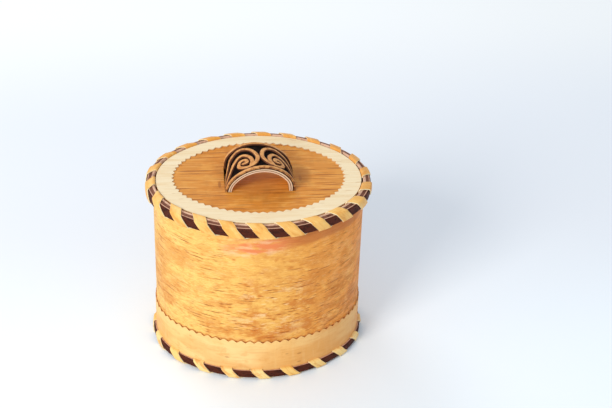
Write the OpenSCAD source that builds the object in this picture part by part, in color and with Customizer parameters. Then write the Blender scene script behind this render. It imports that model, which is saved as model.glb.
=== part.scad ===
// Oval birch bark box with a lift-off lid, laced rims and an arched handle.
// Origin: centre of the underside. +Z up, width along X, the front towards -Y.

/* [Body] */
// Width of the wall, outside
wall_w = 154; // [140:1:180]
// Depth of the wall, outside
wall_d = 126.6; // [112:0.2:134]
// Height of the outer wall's top edge above the table
wall_top = 125; // [90:1:170]
// Thickness of the outer bark wall
wall_t = 2; // [1.2:0.1:3]
// Thickness of the inner bark liner
liner_t = 1.8; // [1.2:0.1:3]
// How far the liner stands above the outer wall
liner_rise = 1.6; // [1.4:0.1:4]
// Gap between sheets that lie on each other
ply_gap = 0.1; // [0.05:0.01:0.2]
// Width of a butt seam in a wrapped sheet
seam_gap = 0.4; // [0.2:0.1:1]

/* [Pinked edges] */
// Height of the pinked band's tooth tips above the table
band_top = 33.8; // [20:0.2:60]
// Thickness of the pinked band and the lid's ring
trim_t = 0.8; // [0.5:0.1:1.5]
// Number of teeth on the band
band_teeth = 70; // [40:1:90]
// Number of teeth on the lid's ring
ring_teeth = 66; // [40:1:90]
// Depth of the teeth
tooth_h = 1.9; // [1:0.1:3]
// Width of the lid's pale ring to its tooth tips
ring_w = 13; // [8:0.5:20]
// How far the ring's opening lies towards the back
ring_shift = 1.6; // [0:0.1:3]

/* [Base] */
// Thickness of the base board
base_t = 4.4; // [3:0.1:8]
// Thickness of the sheet that lines the base, and of the lid's sheets
sheet_t = 0.8; // [0.5:0.1:1.5]
// Height of the base hoop
base_hoop_h = 5.8; // [4:0.1:10]
// Thickness of the base hoop
base_hoop_t = 1.7; // [1:0.1:3]
// Height of the wall's lower edge above the table
foot_gap = 1.4; // [1.2:0.1:3]

/* [Lid] */
// Thickness of the lid's board
board_t = 2; // [1.5:0.1:4]
// Thickness of the core between the board and the sheets on top
core_t = 4.5; // [2:0.1:7]
// Height of the inner rim hoop above the underside of the board
rim_h = 8.5; // [7.9:0.1:13]
// How far the rim's top falls from its inner to its outer hoop
rim_fall = 1.2; // [0:0.1:2]
// Thickness of the inner rim hoop
hoop_in_t = 2; // [1.2:0.1:3]
// Thickness of the middle rim hoop
hoop_mid_t = 1.8; // [1.2:0.1:3]
// Thickness of the outer rim hoop
hoop_out_t = 1.6; // [1.2:0.1:3]
// Depth of the collar that plugs the mouth
collar_h = 14; // [8:1:30]
// Thickness of the collar
collar_t = 1.8; // [1.2:0.1:3]
// Gap between the collar and the liner
collar_gap = 0.6; // [0.4:0.1:1.5]

/* [Lacing] */
// Number of turns of lacing round the lid's rim
lid_turns = 22; // [16:1:24]
// Number of turns of lacing round the base
base_turns = 20; // [16:1:24]
// Thickness of the lacing strip
lace_t = 0.8; // [0.5:0.1:1.2]
// Width of the lid's lacing along the rim
lid_lace_w = 10.5; // [7:0.5:12]
// Width of the base's lacing along the hoop
base_lace_w = 9; // [6:0.5:11]
// How far a strip moves along the lid's rim as it crosses it
lid_slant = 11; // [4:0.5:12]
// How far a strip moves along the base as it crosses the hoop
base_slant = 6.5; // [3:0.5:10]
// Where the lid's lacing starts, along the oval from the right-hand end
lid_lace_start = 1.7; // [0:0.1:20]
// Where the base's lacing starts, along the oval from the right-hand end
base_lace_start = 17.5; // [0:0.1:20]
// Gap between the lacing and what it goes round
lace_gap = 0.12; // [0.1:0.01:0.3]

/* [Handle] */
// Width of the arch over its feet, outside
arch_w = 50; // [40:1:60]
// Rise of the arch above the lid's brown sheet, outside
arch_rise = 20.3; // [18:0.1:28]
// Depth of the strip from front to back
strip_d = 36; // [24:1:44]
// Thickness of the carved cover
cover_t = 1.3; // [0.8:0.1:2]
// Thickness of the dark backing behind the carving
backing_t = 0.5; // [0.3:0.1:1]
// Thickness of the handle's pale core
core_strip_t = 1.1; // [0.8:0.1:2]
// Thickness of the handle's pale lining
lining_strip_t = 1.1; // [0.8:0.1:2]
// Width of the carved lines
line_w = 2.2; // [1.4:0.1:3]
// Length of the tabs folded under the lid's board
tab_len = 9; // [5:1:14]

/* [Hidden] */
$fn = 180;

// Colours
bark_yellow = "#d99b46";
bark_inside = "#c98a4b";
bark_pale = "#f0dcae";
bark_brown = "#b9752c";
bark_pink = "#c69a86";
bark_red = "#7c4636";
bark_maroon = "#3d1c18";
lace_yellow = "#e8b85e";
soot_black = "#17110f";

// The wall's oval: four quarter turns, whose centres are as far out along X as along Y.
// Every layer is parallel to it, so each is four arcs too.
half_w = wall_w / 2;
half_d = wall_d / 2;
centre_out = (half_w - half_d) / (2 - sqrt(2));
end_r = half_w - centre_out;
side_r = half_d + centre_out;
end_angle = 45;
end_len = end_r * PI / 4;
side_len = side_r * PI / 2;
round_len = 4 * end_len + 2 * side_len;

// One arc of the oval: [centre, radius, angle at its start, length before it]
ARCS = [
    [[centre_out, 0], end_r, -end_angle, -end_len],
    [[0, -centre_out], side_r, end_angle, end_len],
    [[-centre_out, 0], end_r, 180 - end_angle, end_len + side_len],
    [[0, centre_out], side_r, 180 + end_angle, 3 * end_len + side_len],
    [[centre_out, 0], end_r, 360 - end_angle, 3 * end_len + 2 * side_len]
];
function wrap(s) = s - round_len * floor(s / round_len);
function arc_at(s) = ARCS[len([for (a = ARCS) if (a[3] <= s) 1]) - 1];
function turn_on(a, s) = a[2] + (s - a[3]) / a[1] * 180 / PI;
// Direction that faces outwards at distance s round the wall
function rim_angle(s) = turn_on(arc_at(wrap(s)), wrap(s));
function rim_radius(s) = arc_at(wrap(s))[1];
function rim_point(s, o) = let (a = arc_at(wrap(s)), t = turn_on(a, wrap(s)))
    a[0] + (a[1] + o) * [cos(t), sin(t)];
// The same, moved sideways by u along the rim at its own offset
function rim_shift(s, o, u) = rim_point(s + u * rim_radius(s) / (rim_radius(s) + o), o);

// Offsets from the wall's outside, outwards positive
liner_out = -wall_t - ply_gap;
liner_in = liner_out - liner_t;
band_in = ply_gap;
band_out = band_in + trim_t;
base_hoop_in = band_out + ply_gap;
base_hoop_out = base_hoop_in + base_hoop_t;
inner_hoop_out = liner_in - ply_gap;
inner_hoop_in = inner_hoop_out - base_hoop_t;
hoop_in_in = -wall_t / 2;
hoop_in_out = hoop_in_in + hoop_in_t;
hoop_mid_in = hoop_in_out + ply_gap;
hoop_mid_out = hoop_mid_in + hoop_mid_t;
hoop_out_in = hoop_mid_out + ply_gap;
hoop_out_out = hoop_out_in + hoop_out_t;
lace_bow = lid_lace_w * lid_lace_w / 8 / end_r;
slot_t = lace_t + 2 * lace_gap + lace_bow;
lid_sheet_out = hoop_in_in - slot_t;
collar_out = liner_in - collar_gap;
collar_in = collar_out - collar_t;
base_slot_in = inner_hoop_in - slot_t;
base_lining_out = base_slot_in - ply_gap;

// Heights
base_hoop_top = foot_gap + base_hoop_h;
slit_h = lace_t + 2 * lace_gap;
seat_z = wall_top + liner_rise;
board_top = seat_z + board_t;
core_top = board_top + core_t;
field_top = core_top + sheet_t;
ring_top = field_top + trim_t;
rim_top = seat_z + rim_h;
collar_bottom = seat_z - collar_h;
rim_round = min(hoop_in_t, hoop_out_t) / 2;
flat_in = hoop_in_in + rim_round;
flat_out = hoop_out_out - rim_round;
// Height of the rim's sloping top at an offset
function rim_top_at(o) = rim_top - rim_fall * (o - flat_in) / (flat_out - flat_in);
edge_wear = 0.15;
slit_ease = 0.4;

// A profile of offsets and heights carried round the oval
module round_wall() {
    for (turn = [0, 180])
        rotate(turn) {
            translate([centre_out, 0])
                rotate_extrude(angle = 90, start = -end_angle)
                    translate([end_r, 0])
                        children();
            translate([0, -centre_out])
                rotate_extrude(angle = 90, start = end_angle)
                    translate([side_r, 0])
                        children();
        }
}

module hoop(inside, outside, bottom, top) {
    round_wall()
        translate([inside, bottom])
            square([outside - inside, top - bottom]);
}

// Flat sheet whose edge runs parallel to the wall
sheet_steps = 160;
module sheet(edge, bottom, top) {
    translate([0, 0, bottom])
        linear_extrude(top - bottom)
            polygon([for (i = [0 : sheet_steps - 1]) rim_point(i * round_len / sheet_steps, edge)]);
}

module at_rim(s, o, z) {
    translate(concat(rim_point(s, o), z))
        rotate(rim_angle(s))
            children();
}

// Butt seam, skived at a slant, where a wrapped sheet's two ends meet
seam_angle = 50;
back_s = end_len + side_len / 2;
module seam(s, inside, outside, bottom, top) {
    reach = 2 * (outside - inside) / cos(seam_angle);
    at_rim(s, (inside + outside) / 2, (bottom + top) / 2)
        rotate(seam_angle)
            cube([reach, seam_gap, top - bottom + 2], center = true);
}

// Slits that a lacing passes through
module slits(turns, start, inside, outside, bottom, top, width) {
    for (i = [0 : turns - 1])
        at_rim(start + i * round_len / turns, inside, bottom)
            translate([0, -width / 2, 0])
                cube([outside - inside, width, top - bottom]);
}

module base_slits(inside, outside) {
    slits(base_turns, base_lace_start, inside - 1, outside + 1,
        base_hoop_top, base_hoop_top + slit_h, base_lace_w + 2 * slit_ease);
}

module outer_wall() {
    color(bark_yellow)
        difference() {
            hoop(-wall_t, 0, foot_gap, wall_top);
            base_slits(-wall_t, 0);
            seam(back_s, -wall_t, 0, foot_gap, wall_top);
        }
}

module inner_liner() {
    color(bark_inside)
        difference() {
            hoop(liner_in, liner_out, foot_gap, seat_z);
            base_slits(liner_in, liner_out);
            seam(back_s + round_len / 2, liner_in, liner_out, foot_gap, seat_z);
        }
}

// Notch between two teeth: a wedge that points down into the band
module notch(pitch) {
    rotate([90, 0, 90])
        linear_extrude(3 * trim_t, center = true)
            polygon([[0, -tooth_h], [pitch * 0.42, 0], [pitch * 0.42, 1], [-pitch * 0.42, 1], [-pitch * 0.42, 0]]);
}

module pinked_band() {
    pitch = round_len / band_teeth;
    color(bark_pale)
        difference() {
            hoop(band_in, band_out, foot_gap, band_top);
            for (i = [0 : band_teeth - 1])
                at_rim((i + 0.5) * pitch, (band_in + band_out) / 2, band_top)
                    notch(pitch);
            base_slits(band_in, band_out);
            seam(back_s + 3 * pitch, band_in, band_out, foot_gap, band_top);
        }
}

module base_board() {
    color(bark_inside)
        difference() {
            sheet(inner_hoop_out, 0, base_t);
            round_wall()
                translate([base_slot_in, -1])
                    square([inner_hoop_out - base_slot_in + 1, foot_gap + 1]);
            slits(base_turns, base_lace_start, base_slot_in, inner_hoop_in,
                0, base_t + 1, base_lace_w + 2 * slit_ease);
        }
}

module base_lining() {
    color(bark_inside)
        sheet(base_lining_out, base_t, base_t + sheet_t);
}

module base_hoop() {
    color(bark_maroon)
        difference() {
            round_wall()
                polygon([
                    [base_hoop_in, foot_gap], [base_hoop_out - rim_round / 2, foot_gap],
                    [base_hoop_out, foot_gap + rim_round / 2], [base_hoop_out, base_hoop_top - rim_round],
                    [base_hoop_out - rim_round, base_hoop_top], [base_hoop_in, base_hoop_top]
                ]);
            seam(back_s - round_len / 8, base_hoop_in, base_hoop_out, foot_gap, base_hoop_top);
        }
}

module inner_hoop() {
    color(bark_inside)
        difference() {
            hoop(inner_hoop_in, inner_hoop_out, base_t, base_hoop_top);
            seam(back_s + round_len / 8, inner_hoop_in, inner_hoop_out, base_t, base_hoop_top);
        }
}

// Lacing: one strip wound round a bundle of hoops. Its loop turns on four round corners,
// each [offset, height, corner radius, direction it leaves from, share of the slant there
// before and after]. The slant starts at the first corner, or only on the outer face.
corner_steps = 3;
fold = PI / 2;
function loop_corners(in_o, out_o, low, high, fall, top_in, top_out, low_out, from_top) =
    let (
        bend_in = from_top ? fold * (top_in + lace_gap) : 0,
        across = from_top ? norm([out_o - in_o - top_in - top_out, fall]) : 0,
        bend_out = fold * (top_out + lace_gap),
        down = high - fall - low - top_out - low_out,
        bend_low = fold * (low_out + lace_gap),
        whole = bend_in + across + bend_out + down + bend_low
    ) [
        [in_o + top_in, high - top_in, top_in, 180, 0, bend_in / whole],
        [out_o - top_out, high - fall - top_out, top_out, 90,
            (bend_in + across) / whole, (bend_in + across + bend_out) / whole],
        [out_o - low_out, low + low_out, low_out, 0, 1 - bend_low / whole, 1],
        [in_o, low, 0, -90, 1, 1]
    ];

// The rings of one turn, each [offset, height, corner radius, direction, slant, way on]
function turn_rings(corners) = [
    for (c = [0 : 3])
        for (i = [0 : corner_steps])
            let (k = corners[c], f = i / corner_steps)
                [k[0], k[1], k[2], k[3] - 90 * f, k[4] + (k[5] - k[4]) * f, c < 3 ? 0 : 1]
];

// Six points of the strip's section at one ring
function ring_points(ring, s, width, slant, way) = [
    for (edge = [[-1, 0], [0, 0], [1, 0], [1, 1], [0, 1], [-1, 1]])
        let (
            reach = ring[2] + lace_gap + edge[1] * lace_t,
            o = ring[0] + reach * cos(ring[3]),
            z = ring[1] + reach * sin(ring[3]),
            along = s + slant * ring[4] + way * ring[5],
            p = rim_shift(along, o, edge[0] * width / 2)
        )
            [p[0], p[1], z]
];

sides = 6;
function tube_faces(rings) = concat(
    [for (r = [0 : rings - 2]) for (e = [0 : sides - 1])
        let (a = r * sides + e, b = r * sides + (e + 1) % sides)
            for (f = [[a, b, a + sides], [b, b + sides, a + sides]]) f],
    [for (e = [1 : sides - 2]) [0, e + 1, e]],
    [for (e = [1 : sides - 2]) let (n = (rings - 1) * sides) [n, n + e, n + e + 1]]
);

// Every ring of the whole winding. It starts in the first slot and ends short of it again.
function winding(corners, turns, start, width, slant) =
    let (pitch = round_len / turns, one = turn_rings(corners))
        [for (t = [0 : turns - 1])
            for (i = [0 : t < turns - 1 ? len(one) - 1 : 3 * (corner_steps + 1) - 1])
                ring_points(one[i], start + t * pitch, width, slant, pitch - slant)];

function least_gap(rings, per_turn) = min([
    for (r = [0 : len(rings) - per_turn / 2 - 1])
        for (q = [r + per_turn / 2 : min(len(rings) - 1, r + 3 * per_turn / 2)])
            for (a = rings[r])
                for (b = rings[q]) norm(a - b)
]);

module strip(rings) {
    polyhedron([for (r = rings) for (p = r) p], tube_faces(len(rings)));
}

rings_per_turn = 4 * (corner_steps + 1);
lid_loop = loop_corners(hoop_in_in, hoop_out_out, seat_z, rim_top, rim_fall,
    rim_round, rim_round, rim_round / 2, true);
lid_winding = winding(lid_loop, lid_turns, lid_lace_start, lid_lace_w, lid_slant);
base_loop = loop_corners(inner_hoop_in, base_hoop_out, foot_gap, base_hoop_top, 0,
    0, rim_round, rim_round / 2, false);
base_winding = winding(base_loop, base_turns, base_lace_start, base_lace_w, base_slant);
echo("least gap between the turns of the lid's lacing", least_gap(lid_winding, rings_per_turn));
echo("least gap between the turns of the base's lacing", least_gap(base_winding, rings_per_turn));

module base_lacing() {
    color(lace_yellow)
        strip(base_winding);
}

module rim_lacing() {
    color(lace_yellow)
        strip(lid_winding);
}

module lid_board() {
    color(bark_inside)
        difference() {
            sheet(hoop_mid_out, seat_z, board_top);
            slits(lid_turns, lid_lace_start, lid_sheet_out, hoop_in_in,
                seat_z - 1, board_top + 1, lid_lace_w + 2 * slit_ease);
            leg_slits(seat_z, board_top, core_n, lining_n + lining_strip_t);
        }
}

module lid_core() {
    color(bark_inside)
        difference() {
            sheet(lid_sheet_out, board_top, core_top);
            leg_slits(board_top, core_top, 0, lining_n + lining_strip_t);
        }
}

module lid_field() {
    color(bark_brown)
        difference() {
            sheet(lid_sheet_out, core_top, field_top);
            leg_slits(core_top, field_top, 0, lining_n + lining_strip_t);
        }
}

// Ring with a pinked inner edge: each tooth has a rounded tip and a sharp valley
module lid_ring() {
    pitch = round_len / ring_teeth;
    tip = lid_sheet_out - ring_w;
    color(bark_pale)
        difference() {
            sheet(lid_sheet_out, field_top, ring_top);
            translate([0, 0, field_top - 1])
                linear_extrude(trim_t + 2)
                    translate([0, ring_shift])
                        polygon([
                            for (i = [0 : ring_teeth - 1])
                                for (k = [[0, 1], [0.36, 0.2], [0.5, 0], [0.64, 0.2]])
                                    rim_point((i + k[0]) * pitch, tip + k[1] * tooth_h)
                        ]);
        }
}

module rim_hoop_inner() {
    color(bark_pink)
        difference() {
            round_wall()
                polygon([
                    [hoop_in_in, board_top], [hoop_in_out, board_top],
                    [hoop_in_out, rim_top_at(hoop_in_out)], [flat_in, rim_top],
                    [hoop_in_in, rim_top - rim_round]
                ]);
            seam(back_s - round_len / 6, hoop_in_in, hoop_in_out, board_top, rim_top);
        }
}

module rim_hoop_middle() {
    color(bark_red)
        difference() {
            round_wall()
                polygon([
                    [hoop_mid_in, board_top], [hoop_mid_out, board_top],
                    [hoop_mid_out, rim_top_at(hoop_mid_out)],
                    [hoop_mid_in + edge_wear, rim_top_at(hoop_mid_in + edge_wear)],
                    [hoop_mid_in, rim_top_at(hoop_mid_in) - edge_wear]
                ]);
            seam(back_s, hoop_mid_in, hoop_mid_out, board_top, rim_top);
        }
}

module rim_hoop_outer() {
    color(bark_maroon)
        difference() {
            round_wall()
                polygon([
                    [hoop_out_in, seat_z], [hoop_out_out - rim_round / 2, seat_z],
                    [hoop_out_out, seat_z + rim_round / 2], [hoop_out_out, rim_top - rim_fall - rim_round],
                    [flat_out, rim_top - rim_fall],
                    [hoop_out_in + edge_wear, rim_top_at(hoop_out_in + edge_wear)],
                    [hoop_out_in, rim_top_at(hoop_out_in) - edge_wear]
                ]);
            seam(back_s + round_len / 6, hoop_out_in, hoop_out_out, seat_z, rim_top);
        }
}

module lid_collar() {
    color(bark_inside)
        difference() {
            hoop(collar_in, collar_out, collar_bottom, seat_z);
            seam(back_s + round_len / 3, collar_in, collar_out, collar_bottom, seat_z);
        }
}

// Handle: an arch of four strips in one oval of its own. Its crown leans a little to the
// right at the front and to the left at the back, as a strip set in by hand does.
crown_lean = 2.7;
arch_half = arch_w / 2;
shoulder_r = arch_rise * arch_rise / arch_half;
shoulder_c = arch_half - shoulder_r;
shoulder_d = arch_rise - shoulder_r;
crown_k = shoulder_d == 0 ? 0 : (shoulder_c * shoulder_c - shoulder_d * shoulder_d) / (2 * shoulder_d);
crown_r = arch_rise + crown_k;
shoulder_angle = atan2(abs(crown_k), abs(shoulder_c));
function arch_point(turn, n) =
    turn < shoulder_angle ? [shoulder_c, 0] + (shoulder_r - n) * [cos(turn), sin(turn)]
    : turn <= 180 - shoulder_angle ? [0, -crown_k] + (crown_r - n) * [cos(turn), sin(turn)]
    : [-shoulder_c, 0] + (shoulder_r - n) * [cos(turn), sin(turn)];

// Places one point of a strip, given in the arch's own plane, at depth y
function leaning(p, y) =
    [p[0] - crown_lean * 2 * y / strip_d * max(0, p[1]) / arch_rise, y, field_top + p[1]];

// Depths of the strips' outer faces below the cover's face
backing_n = cover_t + ply_gap;
core_n = backing_n + backing_t + ply_gap;
lining_n = core_n + core_strip_t + ply_gap;

// Slits for the legs, from the strip whose face is at depth n1 to the face at depth n2
module leg_slits(bottom, top, n1, n2) {
    for (side = [-1, 1])
        translate([side * (arch_half - (n1 + n2) / 2), 0, (bottom + top) / 2])
            cube([n2 - n1 + 2 * leg_ease, strip_d + 2 * leg_ease, top - bottom + 2], center = true);
}
leg_ease = 0.3;

// A strip swept along the arch. Each section is [outer point, inner point] in the arch's plane.
arch_steps = 40;
function arch_sections(n, t) = [
    for (i = [0 : arch_steps])
        let (turn = 180 * i / arch_steps)
            [arch_point(turn, n), arch_point(turn, n + t)]
];
function strip_rings(sections, front, back) = [
    for (s = sections)
        [for (c = [[0, front], [0, back], [1, back], [1, front]]) leaning(s[c[0]], c[1])]
];
function quad_faces(rings) = concat(
    [for (r = [0 : rings - 2]) for (e = [0 : 3])
        let (a = r * 4 + e, b = r * 4 + (e + 1) % 4)
            for (f = [[a, b + 4, b], [a, a + 4, b + 4]]) f],
    [[0, 1, 2], [0, 2, 3]],
    [let (n = (rings - 1) * 4) for (f = [[n, n + 2, n + 1], [n, n + 3, n + 2]]) f]
);
module swept_strip(sections, front = -strip_d / 2, back = strip_d / 2) {
    rings = strip_rings(sections, front, back);
    polyhedron([for (r = rings) for (p = r) p], quad_faces(len(rings)));
}

// The leg of a strip below the brown sheet, and its tab under the board, at the right-hand foot.
// way is 1 for a tab that folds outwards and -1 for one that folds inwards.
tab_z = seat_z - field_top - ply_gap;
function leg_section(n, t, z) = [[arch_half - n, z], [arch_half - n - t, z]];
function tab_sections(n, t, way) =
    let (outside = arch_half - n, inside = outside - t, bend = way > 0 ? outside : inside)
        way > 0
        ? [
            [[bend + tab_len, tab_z], [bend + tab_len, tab_z - t]],
            [[bend, tab_z], [inside, tab_z - t]]
        ]
        : [
            [[bend - tab_len, tab_z - t], [bend - tab_len, tab_z]],
            [[outside, tab_z - t], [bend, tab_z]]
        ];
function mirrored(sections) = [
    for (i = [len(sections) - 1 : -1 : 0])
        [for (p = sections[i]) [-p[0], p[1]]]
];
function whole_strip(n, t, foot) =
    concat(foot, arch_sections(n, t), mirrored(foot));

module handle_backing() {
    color(soot_black)
        swept_strip(whole_strip(backing_n, backing_t,
            [leg_section(backing_n, backing_t, board_top - field_top)]));
}

module handle_core() {
    color(bark_pale)
        swept_strip(whole_strip(core_n, core_strip_t, tab_sections(core_n, core_strip_t, 1)));
}

module handle_lining() {
    color(bark_pale)
        swept_strip(whole_strip(lining_n, lining_strip_t, tab_sections(lining_n, lining_strip_t, -1)));
}

// Carved cover: lines of bark over the dark backing. A line is a chain of round-ended
// stretches laid on the arch, through points [distance from the foot, depth].
crown_at = PI * (arch_half + arch_rise) / 4;
function skin(turn, y) = leaning(arch_point(turn, cover_t), y);
function facing(turn, y) = cross(skin(turn, y + 1) - skin(turn, y - 1), skin(turn + 1, y) - skin(turn - 1, y));
module stud(p, left) {
    climb = 90 * p[0] / crown_at;
    turn = left ? 180 - climb : climb;
    way = facing(turn, p[1]);
    translate(skin(turn, p[1]))
        rotate([0, acos(way[2] / norm(way)), atan2(way[1], way[0])])
            cylinder(h = cover_t, d = line_w, $fn = 8);
}

module line(points, left) {
    for (i = [0 : len(points) - 2])
        hull() {
            stud(points[i], left);
            stud(points[i + 1], left);
        }
}

// A smooth path through knots, in short stretches
stretch = 2.6;
function between(a, b, c, d, f) =
    0.5 * (2 * b + (c - a) * f + (2 * a - 5 * b + 4 * c - d) * f * f
        + (3 * b - a - 3 * c + d) * f * f * f);
function smooth(knots) = concat(
    [for (i = [0 : len(knots) - 2])
        let (steps = ceil(norm(knots[i + 1] - knots[i]) / stretch))
            for (k = [0 : steps - 1])
                between(knots[max(i - 1, 0)], knots[i], knots[i + 1],
                    knots[min(i + 2, len(knots) - 1)], k / steps)],
    [knots[len(knots) - 1]]
);

// A ram's-horn scroll, as shares of the way from foot to crown and of half the depth. Its two
// tails rise side by side from the foot. The outer line coils into the eye, and the inner one
// runs between the coils and joins it.
outer_line = [
    [0, -0.53], [0.27, -0.06], [0.48, 0.42], [0.69, 0.64], [0.88, 0.44], [0.96, -0.11],
    [0.88, -0.6], [0.73, -0.74], [0.61, -0.5], [0.65, -0.2], [0.74, -0.2], [0.76, -0.4],
    [0.7, -0.42]
];
inner_line = [
    [0, -0.74], [0.25, -0.6], [0.41, -0.38], [0.53, -0.07], [0.64, 0.14], [0.74, 0.16],
    [0.83, -0.08], [0.85, -0.4], [0.82, -0.62]
];
module scroll(left) {
    for (knots = [outer_line, inner_line])
        line(smooth([for (k = knots) [k[0] * crown_at, k[1] * strip_d / 2]]), left);
}

foot_rise = 0.6;
module cover_foot(left) {
    translate([left ? -arch_half : arch_half - cover_t, -strip_d / 2, board_top])
        cube([cover_t, strip_d, field_top - board_top + foot_rise]);
}

module cover_border(front, back) {
    swept_strip(arch_sections(0, cover_t), front, back);
}

module handle_cover() {
    color(bark_brown)
        union() {
            cover_border(-strip_d / 2, line_w - strip_d / 2);
            cover_border(strip_d / 2 - line_w, strip_d / 2);
            for (left = [false, true]) {
                scroll(left);
                cover_foot(left);
            }
        }
}

outer_wall();
inner_liner();
pinked_band();
base_board();
base_lining();
base_hoop();
inner_hoop();
base_lacing();
lid_board();
lid_core();
lid_field();
lid_ring();
rim_hoop_inner();
rim_hoop_middle();
rim_hoop_outer();
rim_lacing();
lid_collar();
handle_cover();
handle_backing();
handle_core();
handle_lining();
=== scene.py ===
"""Oval birch bark box: bark finishes, laced rims and a carved handle, dressed over the packed model."""

import math

import bpy
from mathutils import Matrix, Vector


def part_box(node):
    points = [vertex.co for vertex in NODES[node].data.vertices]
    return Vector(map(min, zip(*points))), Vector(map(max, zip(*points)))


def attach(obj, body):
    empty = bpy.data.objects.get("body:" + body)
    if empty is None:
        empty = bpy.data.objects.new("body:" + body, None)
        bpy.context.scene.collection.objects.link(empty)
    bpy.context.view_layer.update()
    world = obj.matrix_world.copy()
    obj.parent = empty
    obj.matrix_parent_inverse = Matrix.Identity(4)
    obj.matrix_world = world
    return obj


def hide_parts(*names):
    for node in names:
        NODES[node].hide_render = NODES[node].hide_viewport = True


bl_info = {
    "name": "Birch Bark Box",
    "version": (1, 0, 0),
    "blender": (4, 5, 0),
    "location": "View3D > Sidebar > Bark Box",
    "description": "Dresses an oval birch bark box with bark finishes, laced rims and a carved handle",
    "category": "Object",
}

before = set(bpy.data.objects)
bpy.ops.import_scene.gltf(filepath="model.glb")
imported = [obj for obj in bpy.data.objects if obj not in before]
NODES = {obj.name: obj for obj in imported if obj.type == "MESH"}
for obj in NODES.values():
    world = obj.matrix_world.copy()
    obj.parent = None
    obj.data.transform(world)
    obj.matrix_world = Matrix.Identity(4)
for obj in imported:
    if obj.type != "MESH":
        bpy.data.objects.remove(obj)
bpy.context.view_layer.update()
MM = 0.001


def low(node):
    """Lowest corner of a packed node."""
    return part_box(node)[0]


def high(node):
    """Highest corner of a packed node."""
    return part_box(node)[1]


HALF_WIDTH = high("outer_wall").x
HALF_DEPTH = high("outer_wall").y


# ---------------------------------------------------------------------------
# Settings


def length(name, description, default):
    return bpy.props.FloatProperty(
        name=name,
        description=description,
        default=default,
        subtype="DISTANCE",
        unit="LENGTH",
        precision=5,
    )


def count(name, description, default):
    return bpy.props.IntProperty(name=name, description=description, default=default, min=3)


def power(name, description, default):
    return bpy.props.FloatProperty(
        name=name, description=description, default=default, min=0.0, subtype="POWER"
    )


def paint(name, description, default):
    return bpy.props.FloatVectorProperty(
        name=name, description=description, default=default, size=3, min=0.0, max=1.0, subtype="COLOR"
    )


class BARKBOX_PG_lacing(bpy.types.PropertyGroup):
    """Sizes of the two lacings"""

    lid_turns: count("Lid turns", "Turns of lacing round the lid", 22)
    base_turns: count("Base turns", "Turns of lacing round the base", 20)
    thickness: length("Strip thickness", "Thickness of the lacing strip", 0.8 * MM)
    gap: length("Gap", "Room between the lacing and what it goes round", 0.12 * MM)
    bow: length("Bow", "How far a strip stands off between its bends", 0.22 * MM)
    hoop: length("Hoop thickness", "Thickness of the lid's inner rim hoop", 2.0 * MM)
    fall: length("Rim fall", "How far the rim's outer edge lies below its inner edge", 1.2 * MM)
    bend: length("Bend", "Radius of the hoops' rounded edges under the lacing", 0.8 * MM)
    lid_width: length("Lid strip width", "Width of the lid's lacing along the rim", 10.5 * MM)
    lid_slant: length("Lid slant", "How far a strip moves along the rim as it crosses it", 11 * MM)
    lid_start: length("Lid start", "Where the lid's lacing starts, along the oval", 1.7 * MM)
    base_width: length("Base strip width", "Width of the base's lacing along the hoop", 9 * MM)
    base_slant: length("Base slant", "How far a strip moves along the base hoop as it crosses it", 6.5 * MM)
    base_start: length("Base start", "Where the base's lacing starts, along the oval", 17.5 * MM)
    base_hoop: length("Base hoop thickness", "Thickness of the hoop inside the base", 1.7 * MM)


class BARKBOX_PG_handle(bpy.types.PropertyGroup):
    """Sizes of the arched handle"""

    span: length("Span", "Width of the arch over its feet, outside", 50 * MM)
    rise: length("Rise", "Rise of the arch above the lid", high("handle_cover").z - high("lid_field").z)
    depth: length("Depth", "Depth of the handle from front to back", high("handle_cover").y * 2)
    lean: length("Lean", "How far the crown leans to the side at the front and back", 2.7 * MM)
    cover: length("Cover thickness", "Thickness of the carved cover", 1.3 * MM)
    line: length("Line width", "Width of a carved line", 2.75 * MM)
    joint: length("Joint depth", "Depth of the dark joint between the core and the lining", 3.15 * MM)


class BARKBOX_PG_band(bpy.types.PropertyGroup):
    """The pinked band's zigzag edge"""

    teeth: count("Teeth", "Teeth round the band", 70)
    tooth: length("Tooth height", "Depth of the band's teeth", 1.9 * MM)
    line: length("Edge line", "Width of the dark line along the teeth", 0.42 * MM)


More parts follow.
